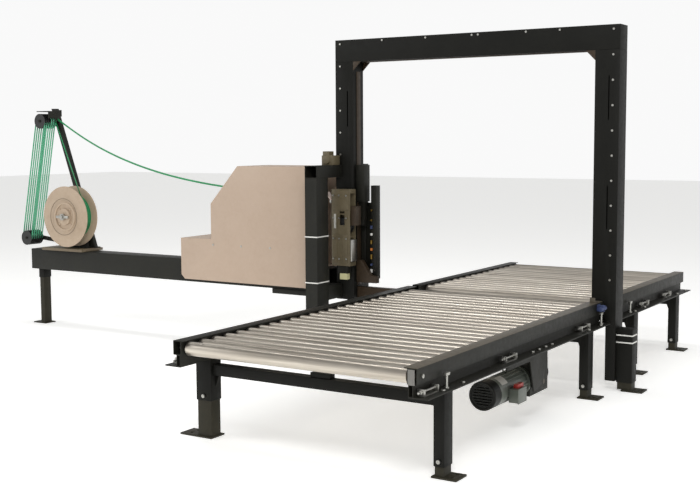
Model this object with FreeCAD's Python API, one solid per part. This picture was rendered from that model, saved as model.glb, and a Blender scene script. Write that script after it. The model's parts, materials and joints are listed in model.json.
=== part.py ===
"""Arch strapping machine: roller conveyor, strap arch, sealing head, cabinet and strap dispenser.

Millimetres, +Z up.  X runs across the conveyor and Y along it.  The pieces are placed about the
conveyor's centre line and the arch's plane; `save` then moves them all so that the origin is the
middle of the machine's footprint on the floor.
"""
import FreeCAD
import Part
import math
import os

V = FreeCAD.Vector

# ---- conveyor ----
DECK_HALF = 630.0          # centre line to the outer face of a rail
RAIL_W = 45.0              # width of a rail's box
RAIL_TOP = 500.0
RAIL_WALL = 3.0
WEB_INSET = 18.0           # the narrow lower channel starts this far in from the outer face
WEB_W = 22.0
FLANGE_Z = 378.0
FLANGE_T = 6.0
FLANGE_OUT = 50.0          # flange beyond the rail's outer face
INFEED_START = -2210.0
OUTFEED_END = 1500.0
ARCH_GAP = 75.0            # each section stops this far from the arch's plane
LEFT_GAP = 26.0            # the left rails run on, nearly to the strap track
ROLLER_R = 31.75
ROLLER_PITCH = 88.9
ROLLER_WALL = 2.8
ROLLER_END_T = 6.0
ROLLER_CLEAR = 13.0        # roller end to rail
ROLLER_DROP = 8.0          # roller top under the rail top
RAIL_LIP = 16.0            # lip over the roller ends
AXLE_R = 6.0
RUN_FIT = 0.05
HUB_R = 15.0
HUB_HOLE = 2.0             # gap round the hub in the rail's wall
SPROCKET_R = 18.0
SPROCKET_T = 6.0
CHAIN_ROOM = 7.85          # sprocket to the underside of the rail's box
CHAIN_GAP = 0.3
CHAIN_T = 4.0
SINGLE_ROLLERS = 2         # end rollers that are nodes of their own
DRIVE_INDEX = 15           # the roller that takes the drive chain

# ---- legs ----
LEG_ROWS = (-1957.0, -285.0, 480.0, 1340.0)
RIGHT_LEG = (50.8, 76.2)
LEFT_LEG = (88.9, 76.2)
LEG_WALL = 4.0
LEG_CLEAR = 0.3            # inner tube to sleeve
LEG_IN = 40.0              # right sleeve starts this far in from the rail's outer face
RIGHT_SLEEVE_Z = 48.0
LEFT_SLEEVE_Z = 178.0
FOOT_T = 8.0
FOOT_D = 100.0
RIGHT_FOOT_W = 118.0
LEFT_FOOT_W = 190.0
FOOT_HOLE_R = 7.0
CROSS_H = 50.8
CROSS_D = 50.8
CROSS_DROP = 25.4          # under the rails' flange
JUNCTION = (-38.0, 67.0, 22.0)  # cable junction on the first cross tube: from, to, height

# ---- drive ----
DRIVE_SHAFT_Z = 190.0
DRIVE_SHAFT_R = 12.0
MOTOR_R = 70.0
MOTOR_LEN = 270.0
COWL_LEN = 130.0
REDUCER = (131.0, 230.0, 160.0)
PLATE_T = 8.0

# ---- arch ----
ARCH_LEFT = -1134.0
ARCH_CLEAR = 68.0          # arch's right face beyond the rail
ARCH_TOP = 2015.0
ARCH_BEAM_H = 135.0
LEFT_COL_W = 130.0
RIGHT_COL_W = 139.0
ARCH_D = 120.0
ARCH_WALL = 3.0
LEFT_COL_Z = 388.0
RIGHT_COL_Z = 392.0
STRIP_W = 57.0
STRIP_Z = 55.0
ARCH_LEG = (88.9, 76.2)
ARCH_LEG_TOP = 345.0
GUSSET = 55.0
SCREW_IN = 36.0            # column screws, in from the outer faces
BEAM_SCREWS = (340.0, 640.0, 945.0, 985.0, 1284.0, 1487.0)

# ---- head and cabinet ----
POST = (88.9, 127.0)
POST_Y = (-281.0, 200.0)
POST_TOP = 1240.0
HEAD_TUBE = 76.2
LOW_TUBE_Z = 401.0
LOW_TUBE_H = 87.0
HEAD_IN = 14.0             # head case, in from the column's outer face
HEAD_PROUD = 19.0          # and past its inner face
HEAD_D = 70.0
HEAD_GAP = 6.0             # case to column
HEAD_Z = (610.0, 1090.0)
HEAD_WALL = 6.0
FLAP_LEN = 75.0
FLAP_LEAN = 40.0           # degrees from upright
FEED_WHEEL_R = 52.0
FEED_WHEEL_Z = 860.0
PLATEN_Z = 708.0
AIR_FITTINGS = ((560, 22), (604, 14), (646, 30), (700, 16), (742, 24), (796, 14), (838, 20), (886, 12),
                (950, 10))    # foot and height of each
CABINET_X = (-2330.0, -1257.0)
CABINET_HALF_D = 170.0
CABINET_Z = (455.0, 736.0, 975.0, 1228.0)
CABINET_STEP_X = -2065.0
CABINET_SLOPE_X = -1836.0
CABINET_WALL = 2.0
CABINET_SCREWS = (-2048.0, -1812.0, -1576.0, -1285.0)
INLET_IN = 85.0            # strap inlet, from the foot of the slanted face

# ---- dispenser ----
BEAM_LEFT = -3910.0
BEAM_Z = (425.0, 578.0)
BEAM_HALF = 75.0
BEAM_WALL = 5.0
BASE_T = 20.0
BASE_X = (-3755.0, -3340.0)
REEL = (-3490.0, 837.0)
REEL_R = 225.0
REEL_W = 105.0
REEL_FRONT = -118.0
FLANGE_WALL = 5.0
COIL_R = 165.0
CORE_R = 100.0
REEL_SHAFT_R = 15.0
TOWER = 44.0
TOWER_TOP = (-3750.0, 1640.0)
TOWER_FOOT_X = -3375.0
TOWER_Y = 34.0
TOP_SHEAVE = (-3758.0, 1545.0)
LOW_SHEAVE = (-3940.0, 660.0)
SHEAVE_R = 55.0
SHEAVE_GROOVE_R = 45.0
SHEAVE_COUNT = 6
SHEAVE_W = 20.0
SHEAVE_BORE = 10.0
SHEAVE_FRONT = -92.0
PIVOT = (-3640.0, 628.0)

# ---- strap ----
STRAP_W = 12.0
STRAP_T = 1.6

# worked out from the above
RAIL_BOX_H = ROLLER_DROP + ROLLER_R + SPROCKET_R + CHAIN_ROOM
RAIL_IN = DECK_HALF - RAIL_W
BOX_Z = RAIL_TOP - RAIL_BOX_H
WEB_X = DECK_HALF - WEB_INSET
ROLLER_END = RAIL_IN - ROLLER_CLEAR
AXIS_Z = RAIL_TOP - ROLLER_DROP - ROLLER_R
RAIL_CAVITY_X = DECK_HALF - RAIL_WALL
CHAIN_R = SPROCKET_R + CHAIN_GAP
SPROCKET_X = RAIL_IN + 13.0
DRIVE_SPROCKET_X = RAIL_IN - 10.0
ARCH_RIGHT = DECK_HALF + ARCH_CLEAR
LEFT_COL_IN = ARCH_LEFT + LEFT_COL_W
RIGHT_COL_IN = ARCH_RIGHT - RIGHT_COL_W
BEAM_BOTTOM = ARCH_TOP - ARCH_BEAM_H
POST_X = ARCH_LEFT - 46.0
ARCH_HALF = ARCH_D / 2
COIL_BACK = REEL_FRONT + REEL_W
STAND_Y = COIL_BACK + 12.0
BASE_TOP = BEAM_Z[1] + BASE_T
SHEAVE_BACK = SHEAVE_FRONT + SHEAVE_COUNT * SHEAVE_W
HEAD_X0 = ARCH_LEFT + HEAD_IN
HEAD_X1 = LEFT_COL_IN + HEAD_PROUD
HEAD_Y1 = -ARCH_HALF - HEAD_GAP
HEAD_Y0 = HEAD_Y1 - HEAD_D
HEAD_MID_Y = (HEAD_Y0 + HEAD_Y1) / 2
FEED_WHEEL_X = HEAD_X0 + 80.0
COVER_HINGE = (HEAD_X0 - 8.0, 1012.0)


def box(x0, x1, y0, y1, z0, z1):
    lo = V(min(x0, x1), min(y0, y1), min(z0, z1))
    return Part.makeBox(abs(x1 - x0), abs(y1 - y0), abs(z1 - z0), lo)


def rod(axis, start, end, radius):
    """A cylinder along `axis` from `start` to the other end's coordinate on that axis."""
    start = V(*start)
    origin = {"x": start.x, "y": start.y, "z": start.z}[axis]
    step = {"x": V(1, 0, 0), "y": V(0, 1, 0), "z": V(0, 0, 1)}[axis]
    if end < origin:
        step = -step
    return Part.makeCylinder(radius, abs(end - origin), start, step)


def tube(x0, x1, y0, y1, z0, z1, wall, axis):
    """A rectangular tube, open at both ends along `axis`."""
    inset = {"x": (0, wall, wall), "y": (wall, 0, wall), "z": (wall, wall, 0)}[axis]
    ix, iy, iz = inset
    outer = box(x0, x1, y0, y1, z0, z1)
    return outer.cut(box(min(x0, x1) + ix, max(x0, x1) - ix, y0 + iy, y1 - iy, z0 + iz, z1 - iz))


def prism(points, axis, start, length):
    """A closed outline pushed along an axis: (x, z) points for y and (y, z) points for x."""
    if axis == "y":
        corners = [V(a, start, b) for a, b in points]
        push = V(0, length, 0)
    else:
        corners = [V(start, a, b) for a, b in points]
        push = V(length, 0, 0)
    face = Part.Face(Part.makePolygon(corners + corners[:1]))
    return face.extrude(push)


def fuse(shapes):
    shapes = list(shapes)
    return shapes[0].multiFuse(shapes[1:]).removeSplitter() if len(shapes) > 1 else shapes[0]


def group(shapes):
    return Part.makeCompound(list(shapes))


def mirror_x(shape):
    return shape.mirror(V(0, 0, 0), V(1, 0, 0))


NODES = {}


def save(name, shape):
    """Keeps a node's shape.  A name used again joins the new solids to the first ones as a group."""
    NODES[name] = group([NODES[name], shape]) if name in NODES else shape


# ---------------------------------------------------------------- conveyor
def roller_rows(start, end):
    """Roller centres of one section: whole pitches, centred in its length."""
    count = int((end - start) // ROLLER_PITCH)
    first = start + ((end - start) - (count - 1) * ROLLER_PITCH) / 2
    return [first + i * ROLLER_PITCH for i in range(count)]


INFEED = roller_rows(INFEED_START, -ARCH_GAP)
OUTFEED = roller_rows(ARCH_GAP, OUTFEED_END)
DRIVE_Y = INFEED[min(DRIVE_INDEX, len(INFEED) - 1)]


def rail(y0, y1, rows, side):
    """Box, lower channel and bolting flange welded into one rail; `side` is +1 on the right."""
    body = fuse([
        tube(RAIL_IN, DECK_HALF, y0, y1, BOX_Z, RAIL_TOP, RAIL_WALL, "y"),
        tube(WEB_X - WEB_W, WEB_X, y0, y1, FLANGE_Z, BOX_Z, RAIL_WALL, "y"),
        box(WEB_X - WEB_W, DECK_HALF + FLANGE_OUT, y0, y1, FLANGE_Z, FLANGE_Z + FLANGE_T),
        box(RAIL_IN - RAIL_LIP, RAIL_IN, y0, y1, RAIL_TOP - RAIL_WALL, RAIL_TOP),
    ])
    hole_r = HUB_R + HUB_HOLE if side > 0 else AXLE_R + 0.1
    holes = [rod("x", (RAIL_IN - 1, y, AXIS_Z), RAIL_IN + RAIL_WALL + 1, hole_r) for y in rows]
    body = body.cut(group(holes))
    return body if side > 0 else mirror_x(body)


def roller(y, driven=False):
    """One chain-driven roller: shell, end discs, hub and sprocket, bored for its axle."""
    solids = [
        rod("x", (-ROLLER_END, y, AXIS_Z), ROLLER_END, ROLLER_R),
        rod("x", (ROLLER_END, y, AXIS_Z), SPROCKET_X + SPROCKET_T + 2, HUB_R),
        rod("x", (SPROCKET_X, y, AXIS_Z), SPROCKET_X + SPROCKET_T, SPROCKET_R),
    ]
    if driven:
        solids.append(rod("x", (DRIVE_SPROCKET_X, y, AXIS_Z), DRIVE_SPROCKET_X + SPROCKET_T, SPROCKET_R))
    hollow = ROLLER_END - ROLLER_END_T
    inside = rod("x", (-hollow, y, AXIS_Z), hollow, ROLLER_R - ROLLER_WALL)
    bore = rod("x", (-ROLLER_END - 1, y, AXIS_Z), DECK_HALF, AXLE_R + RUN_FIT)
    return fuse(solids).cut(inside).cut(bore)


def chain_loop(x, y0, y1, z0, z1):
    """A chain drawn as a band round two equal sprockets, level or upright."""
    def lozenge(radius):
        grow_y = radius if y0 == y1 else 0
        grow_z = radius if z0 == z1 else 0
        middle = box(x, x + SPROCKET_T, y0 - grow_y, y1 + grow_y, z0 - grow_z, z1 + grow_z)
        ends = [rod("x", (x, y, z), x + SPROCKET_T, radius) for y, z in ((y0, z0), (y1, z1))]
        return fuse([middle] + ends)
    return lozenge(CHAIN_R + CHAIN_T).cut(lozenge(CHAIN_R))


def conveyor():
    save("infeed_rail_right", rail(INFEED_START, -ARCH_GAP, INFEED, 1))
    save("infeed_rail_left", rail(INFEED_START, -LEFT_GAP, INFEED, -1))
    save("outfeed_rail_right", rail(ARCH_GAP, OUTFEED_END, OUTFEED, 1))
    save("outfeed_rail_left", rail(LEFT_GAP, OUTFEED_END, OUTFEED, -1))
    drive = min(DRIVE_INDEX, len(INFEED) - 1)
    for i in range(SINGLE_ROLLERS):
        save("infeed_roller_%d" % (i + 1), roller(INFEED[i]))
    save("drive_roller", roller(DRIVE_Y, driven=True))
    rest = [y for i, y in enumerate(INFEED) if i >= SINGLE_ROLLERS and i != drive]
    save("infeed_rollers", group(roller(y) for y in rest))
    save("outfeed_rollers", group(roller(y) for y in OUTFEED))
    axles = [rod("x", (-RAIL_CAVITY_X, y, AXIS_Z), RAIL_CAVITY_X, AXLE_R) for y in INFEED + OUTFEED]
    save("roller_axles", group(axles))
    save("drive_chains", group([
        chain_loop(SPROCKET_X, INFEED[0], INFEED[-1], AXIS_Z, AXIS_Z),
        chain_loop(SPROCKET_X, OUTFEED[0], OUTFEED[-1], AXIS_Z, AXIS_Z),
        chain_loop(DRIVE_SPROCKET_X, DRIVE_Y, DRIVE_Y, DRIVE_SHAFT_Z, AXIS_Z),
    ]))


def right_leg_x():
    return DECK_HALF - LEG_IN, DECK_HALF - LEG_IN + RIGHT_LEG[0]


def left_leg_x():
    x1 = -(DECK_HALF - LEG_IN)
    return x1 - LEFT_LEG[0], x1


def telescopic(x0, x1, y, depth, sleeve_z, top, foot_x0, foot_x1, hole_x):
    """A sleeve and, inside it, a smaller tube welded to a floor plate with anchor holes."""
    half = depth / 2
    sleeve = tube(x0, x1, y - half, y + half, sleeve_z, top, LEG_WALL, "z")
    gap = LEG_WALL + LEG_CLEAR
    inner = tube(x0 + gap, x1 - gap, y - half + gap, y + half - gap, FOOT_T, top - 20, LEG_WALL, "z")
    plate = box(foot_x0, foot_x1, y - FOOT_D / 2, y + FOOT_D / 2, 0, FOOT_T)
    for dy in (-FOOT_D / 4, FOOT_D / 4):
        plate = plate.cut(rod("z", (hole_x, y + dy, -1), FOOT_T + 1, FOOT_HOLE_R))
    return sleeve, fuse([inner, plate])


def legs():
    sleeves, feet, members, bolts = [], [], [], []
    top = FLANGE_Z - CROSS_DROP
    rx0, rx1 = right_leg_x()
    lx0, lx1 = left_leg_x()
    for y in LEG_ROWS:
        s, f = telescopic(rx0, rx1, y, RIGHT_LEG[1], RIGHT_SLEEVE_Z, FLANGE_Z,
                          rx0 - 6, rx0 - 6 + RIGHT_FOOT_W, rx1 + 30)
        sleeves.append(s)
        feet.append(f)
        s, f = telescopic(lx0, lx1, y, LEFT_LEG[1], LEFT_SLEEVE_Z, FLANGE_Z,
                          lx1 + 6 - LEFT_FOOT_W, lx1 + 6, lx0 - 45)
        sleeves.append(s)
        feet.append(f)
        under = top - CROSS_H
        members.append(tube(lx1, rx0, y - CROSS_D / 2, y + CROSS_D / 2, under, top, LEG_WALL, "x"))
        for x, s in ((rx0, -1), (lx1, 1)):
            outline = [(x, under), (x + s * 22, under), (x, under - 60)]
            members.append(prism(outline, "y", y - 4, 8))
        outline = [(lx0, FLANGE_Z), (-(DECK_HALF + FLANGE_OUT) - 28, FLANGE_Z), (lx0, FLANGE_Z - 40)]
        members.append(prism(outline, "y", y - 4, 8))
        head_y = y - RIGHT_LEG[1] / 2
        bolts.append(rod("y", ((rx0 + rx1) / 2, head_y, RIGHT_SLEEVE_Z + 22), head_y - 8, 9))
        bolts.append(rod("y", ((lx0 + lx1) / 2, head_y, LEFT_SLEEVE_Z + 22), head_y - 8, 9))
    x0, x1, height = JUNCTION
    members.append(box(x0, x1, LEG_ROWS[0] - 20, LEG_ROWS[0] + 20, top, top + height))
    return sleeves, feet, members, bolts


def t_bolt(side, y):
    """An upright bolt with a bar head standing on the flange."""
    x = side * (DECK_HALF + 22)
    z0 = FLANGE_Z + FLANGE_T
    return fuse([
        rod("z", (x, y, z0), z0 + 8, 11),
        rod("z", (x, y, z0), z0 + 62, 6),
        box(x - 8, x + 8, y - 17, y + 17, z0 + 56, z0 + 68),
    ])


def take_up(y, side):
    """A chain take-up: a bracket on the flange with a long screw and its nuts."""
    z0 = FLANGE_Z + FLANGE_T
    x0 = DECK_HALF - 14
    parts = [
        box(side * x0, side * (x0 + 34), y - 60, y - 54, z0, z0 + 30),
        box(side * x0, side * (x0 + 34), y + 54, y + 60, z0, z0 + 30),
        box(side * x0, side * (x0 + 34), y - 60, y + 60, z0, z0 + 4),
        rod("y", (side * (x0 + 18), y - 85, z0 + 18), y + 85, 5),
        rod("y", (side * (x0 + 18), y - 70, z0 + 18), y - 60, 9),
        rod("y", (side * (x0 + 18), y + 60, z0 + 18), y + 70, 9),
    ]
    return fuse(parts)


def section_ties():
    """Plates under the flanges that join the two sections across the arch; the left one lifts the track."""
    x0, x1 = WEB_X - WEB_W, ARCH_RIGHT - STRIP_W
    reach = ARCH_GAP + 55
    right = box(x0, x1, -reach, reach, FLANGE_Z - 8, FLANGE_Z)
    left = fuse([
        box(-x1, -x0, -reach, reach, FLANGE_Z - 8, FLANGE_Z),
        box(-x1, -x0, -20, 20, FLANGE_Z, LEFT_COL_Z + 12),
    ])
    return [right, left]


def frame_bolts(bolts):
    z0 = FLANGE_Z + FLANGE_T
    for y in (INFEED_START + 212, -160.0, 330.0):
        bolts += [t_bolt(1, y), t_bolt(-1, y)]
    for y in (INFEED_START + 90, -1340.0, -380.0, 640.0, 1100.0):
        bolts += [take_up(y, 1), take_up(y, -1)]
    for y in (DRIVE_Y - 270, DRIVE_Y - 190, DRIVE_Y - 110, DRIVE_Y - 30):
        bolts.append(rod("z", (DECK_HALF + 20, y, z0), z0 + 9, 9))
    for row in LEG_ROWS:
        for dy in (-90.0, 90.0):
            for side in (-1, 1):
                bolts.append(rod("z", (side * (DECK_HALF + 32), row + dy, z0), z0 + 8, 9))
    for side in (-1, 1):
        bolts.append(rod("x", (side * DECK_HALF, INFEED_START + 45, BOX_Z + 30), side * (DECK_HALF + 6), 9))
    bolts.append(box(RAIL_IN + 5, DECK_HALF - 9, INFEED_START, INFEED_START - 4, BOX_Z - 2, RAIL_TOP - 4))
    return bolts


def lower_frame():
    sleeves, feet, members, bolts = legs()
    save("leg_sleeves", group(sleeves))
    save("adjustable_feet", group(feet))
    save("cross_members", group(members + section_ties()))
    save("frame_bolts", group(frame_bolts(bolts)))


# ---------------------------------------------------------------- drive
def drive():
    plate_x = RAIL_IN + 5.0
    y_far = DRIVE_Y + REDUCER[1] / 2
    y_near = y_far - REDUCER[1]
    red_x1 = DRIVE_SPROCKET_X - 4
    red_x0 = red_x1 - REDUCER[0]
    low = DRIVE_SHAFT_Z - 60.0
    high = low + REDUCER[2]
    shaft = (DRIVE_Y, DRIVE_SHAFT_Z)
    plate_y, plate_low, step_z = y_near - 330.0, low + 30.0, FLANGE_Z - 58.0
    plate = prism([(plate_y, FLANGE_Z), (plate_y, step_z), (y_near - 60, step_z), (y_near - 10, plate_low),
                   (DRIVE_Y + 45, plate_low), (DRIVE_Y + 45, FLANGE_Z)], "x", plate_x, PLATE_T)
    plate = plate.cut(rod("x", (plate_x - 1, *shaft), plate_x + PLATE_T + 1, DRIVE_SHAFT_R + RUN_FIT))
    save("motor_mount_plate", plate)
    corners = ((y_near + 22, low + 50), (y_near + 22, high - 20), (DRIVE_Y + 33, high - 20))
    spacers = [rod("x", (red_x1, y, z), plate_x, 9) for y, z in corners]
    ribs = [box(red_x0 + 12, red_x1 - 12, y_near + 30 + i * 28, y_near + 38 + i * 28, high, high + 10)
            for i in range(7)]
    reducer = fuse([
        box(red_x0, red_x1, y_near, y_far, low, high),
        rod("y", ((red_x0 + red_x1) / 2, y_far, DRIVE_SHAFT_Z + 15), y_far + 45, 52),
    ] + spacers + ribs)
    reducer = reducer.cut(rod("x", (red_x0 + 20, *shaft), red_x1 + 1, DRIVE_SHAFT_R + RUN_FIT))
    save("gear_reducer", reducer)
    sprocket = fuse([
        rod("x", (red_x0 + 21, *shaft), plate_x + PLATE_T, DRIVE_SHAFT_R),
        rod("x", (DRIVE_SPROCKET_X, *shaft), DRIVE_SPROCKET_X + SPROCKET_T, SPROCKET_R),
    ])
    save("drive_sprocket", sprocket)
    motor(y_near, (red_x0 + red_x1) / 2, DRIVE_SHAFT_Z + 15)


def motor(y_face, x, z):
    """Finned motor body, its fan on the shaft's tail and the slotted cowl over the fan."""
    y_body = y_face - MOTOR_LEN
    fins = [rod("y", (x, y_face - 20, z), y_body + 10, MOTOR_R - 5)]
    for i in range(24):
        a = 2 * math.pi * i / 24
        fin = box(-1.5, 1.5, y_body + 12, y_face - 24, MOTOR_R - 8, MOTOR_R)
        fin.rotate(V(0, 0, 0), V(0, 1, 0), math.degrees(a))
        fin.translate(V(x, 0, z))
        fins.append(fin)
    flange = rod("y", (x, y_face, z), y_face - 20, MOTOR_R + 4)
    rear_bell = rod("y", (x, y_body + 12, z), y_body, MOTOR_R - 2)
    lift_ring = Part.makeTorus(13, 4, V(x, y_face - 150, z + MOTOR_R + 13), V(0, 1, 0))
    tail = rod("y", (x, y_body, z), y_body - 60, 8)
    save("motor_body", fuse(fins + [flange, rear_bell, lift_ring, tail]))
    cowl = rod("y", (x, y_body, z), y_body - COWL_LEN, MOTOR_R)
    cowl = cowl.fuse(Part.makeTorus(MOTOR_R - 6, 6, V(x, y_body - COWL_LEN, z), V(0, 1, 0)))
    cowl = cowl.cut(rod("y", (x, y_body + 1, z), y_body - COWL_LEN + 3, MOTOR_R - 3))
    slots = [box(x - w, x + w, y_body - COWL_LEN - 8, y_body - COWL_LEN + 4, z + dz - 2.5, z + dz + 2.5)
             for dz, w in ((-40, 32), (-27, 42), (-14, 48), (0, 50), (14, 48), (27, 42), (40, 32))]
    save("motor_fan_cowl", cowl.cut(group(slots)))
    blades = [rod("y", (x, y_body - 20, z), y_body - 50, 20)]
    for i in range(8):
        blade = box(-1.5, 1.5, y_body - 48, y_body - 22, 15, MOTOR_R - 12)
        blade.rotate(V(0, 0, 0), V(0, 1, 0), 45.0 * i)
        blade.translate(V(x, 0, z))
        blades.append(blade)
    save("motor_fan", fuse(blades).cut(rod("y", (x, y_body, z), y_body - 70, 8 + RUN_FIT)))
    bx = x + MOTOR_R - 3
    ty = y_face - 255.0
    wiring = box(bx, bx + 48, ty, ty + 90, z - 52, z + 14)
    lid = box(bx + 48, bx + 52, ty - 3, ty + 93, z - 55, z + 17)
    carve = rod("y", (x, y_face, z), y_body, MOTOR_R + 0.3)
    save("terminal_box", fuse([wiring, lid]).cut(carve))
    plug = box(bx + 14, bx + 38, ty + 25, ty + 87, z + 14, z + 34)
    save("terminal_box", plug)


def photo_eye():
    """The load sensor on the right rail beside the arch, with its standing target plate."""
    x0 = RAIL_IN + 4
    y = -ARCH_GAP - 95.0
    stand = fuse([
        box(x0, x0 + 30, y, y + 60, RAIL_TOP, RAIL_TOP + 3),
        box(x0, x0 + 30, y, y + 4, RAIL_TOP, RAIL_TOP + 30),
    ])
    arm = fuse([
        box(DECK_HALF, DECK_HALF + 5, y, y + 44, RAIL_TOP - 42, RAIL_TOP - 6),
        box(DECK_HALF, DECK_HALF + 44, y, y + 4, RAIL_TOP - 42, RAIL_TOP - 6),
    ])
    eye = fuse([
        rod("y", (DECK_HALF + 30, y - 30, RAIL_TOP - 26), y, 13),
        rod("y", (DECK_HALF + 30, y + 4, RAIL_TOP - 26), y + 42, 13),
        rod("y", (DECK_HALF + 30, y - 1, RAIL_TOP - 26), y + 5, 9),
    ])
    arm = arm.cut(rod("y", (DECK_HALF + 30, y - 1, RAIL_TOP - 26), y + 5, 9))
    save("photo_eye", group([stand, arm, eye]))


# ---------------------------------------------------------------- arch
def arch():
    h = ARCH_HALF
    left = tube(ARCH_LEFT, LEFT_COL_IN, -h, h, LEFT_COL_Z, BEAM_BOTTOM, ARCH_WALL, "z")
    slot = box(ARCH_LEFT + 84, ARCH_LEFT + 92, -h - 1, -h + 10, 1480, 1700)
    save("arch_left_column", left.cut(slot))
    beam = tube(ARCH_LEFT, ARCH_RIGHT, -h, h, BEAM_BOTTOM, ARCH_TOP, ARCH_WALL, "x")
    ends = [box(x, x + ARCH_WALL, -h + ARCH_WALL, h - ARCH_WALL,
                BEAM_BOTTOM + ARCH_WALL, ARCH_TOP - ARCH_WALL)
            for x in (ARCH_LEFT, ARCH_RIGHT - ARCH_WALL)]
    save("arch_top_beam", fuse([beam] + ends))
    upper = tube(RIGHT_COL_IN, ARCH_RIGHT, -h, h, RIGHT_COL_Z, BEAM_BOTTOM, ARCH_WALL, "z")
    strip = tube(ARCH_RIGHT - STRIP_W, ARCH_RIGHT, -h, h, STRIP_Z, RIGHT_COL_Z, ARCH_WALL, "z")
    slots = [box(ARCH_RIGHT - 62, ARCH_RIGHT - 56, -h - 1, -h + 10, z, z + 240) for z in (900, 1500)]
    save("arch_right_column", fuse([upper, strip]).cut(group(slots)))
    gussets = []
    for x, s in ((LEFT_COL_IN, 1), (RIGHT_COL_IN, -1)):
        outline = [(x, BEAM_BOTTOM), (x + s * GUSSET, BEAM_BOTTOM), (x, BEAM_BOTTOM - GUSSET)]
        gussets.append(prism(outline, "y", -h, 5))
        gussets.append(prism(outline, "y", h - 5, 5))
    save("arch_corner_gussets", group(gussets))
    screws = []
    for x, count in ((ARCH_LEFT + SCREW_IN, 6), (ARCH_RIGHT - SCREW_IN, 11)):
        for i in range(count):
            screws.append(rod("y", (x, -h, ARCH_TOP - 25 - 137 * i), -h - 4, 6))
    for along in BEAM_SCREWS:
        screws.append(rod("y", (ARCH_LEFT + along, -h, ARCH_TOP - 14), -h - 4, 6))
    save("panel_screws", group(screws))
    track = tube(LEFT_COL_IN, RIGHT_COL_IN, -20, 20, LEFT_COL_Z + 12, RAIL_TOP - 30, ARCH_WALL, "x")
    save("strap_track", track)
    liner = box(LEFT_COL_IN, LEFT_COL_IN + 4, -22, 22, RAIL_TOP - 20, BEAM_BOTTOM - GUSSET - 5)
    right = box(RIGHT_COL_IN - 4, RIGHT_COL_IN, -22, 22, RAIL_TOP + 10, BEAM_BOTTOM - GUSSET - 5)
    top = box(LEFT_COL_IN + GUSSET + 5, RIGHT_COL_IN - GUSSET - 5, -22, 22, BEAM_BOTTOM - 4, BEAM_BOTTOM)
    save("strap_track", group([liner, right, top]))
    x0 = ARCH_RIGHT + 2
    sleeve, foot = telescopic(x0, x0 + ARCH_LEG[0], 0, ARCH_LEG[1], RIGHT_SLEEVE_Z, ARCH_LEG_TOP,
                              x0 + 30, x0 + 150, x0 + 125)
    link = [box(ARCH_RIGHT, x0, -30, 30, z, z + 40) for z in (90, 200)]
    cap = box(x0, x0 + ARCH_LEG[0], -ARCH_LEG[1] / 2, ARCH_LEG[1] / 2, ARCH_LEG_TOP, ARCH_LEG_TOP + 4)
    save("leg_sleeves", fuse([sleeve, cap] + link))
    save("adjustable_feet", foot)
    bands = []
    for z in (ARCH_LEG_TOP - 35, ARCH_LEG_TOP - 75):
        bands.append(band(x0, x0 + ARCH_LEG[0], -ARCH_LEG[1] / 2, ARCH_LEG[1] / 2, z))
    px0, px1 = POST_X, POST_X + POST[0]
    for z in (516, 800):
        bands.append(band(px0, px1, POST_Y[0] - POST[1] / 2, POST_Y[0] + POST[1] / 2, z))
    save("tie_bands", group(bands))


def band(x0, x1, y0, y1, z):
    """A thin tie band that wraps a rectangular post, 0.2 mm off its faces."""
    g, t = 0.2, 1.5
    ring = box(x0 - g - t, x1 + g + t, y0 - g - t, y1 + g + t, z, z + 7)
    return ring.cut(box(x0 - g, x1 + g, y0 - g, y1 + g, z - 1, z + 8))


# ---------------------------------------------------------------- head
def head_frame():
    """Two posts on floor plates, and the upper and lower tubes from them to the arch's column."""
    px0, px1 = POST_X, POST_X + POST[0]
    half = POST[1] / 2
    posts, arms = [], []
    for y in POST_Y:
        s = 1 if y > 0 else -1
        posts.append(fuse([
            tube(px0, px1, y - half, y + half, FOOT_T, POST_TOP - HEAD_TUBE, LEG_WALL, "z"),
            box(px0 - 30, px1 + 30, y - half - 30, y + half + 30, 0, FOOT_T),
        ]))
        outer, inner, side = y + s * half, y - s * half, s * ARCH_HALF
        arms.append(tube(px0, px1, min(outer, side), max(outer, side), POST_TOP - HEAD_TUBE, POST_TOP,
                         LEG_WALL, "y"))
        arms.append(tube(px0, px1, min(inner, side), max(inner, side), LOW_TUBE_Z, LOW_TUBE_Z + LOW_TUBE_H,
                         LEG_WALL, "y"))
    save("head_frame", group(posts + arms))


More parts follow.
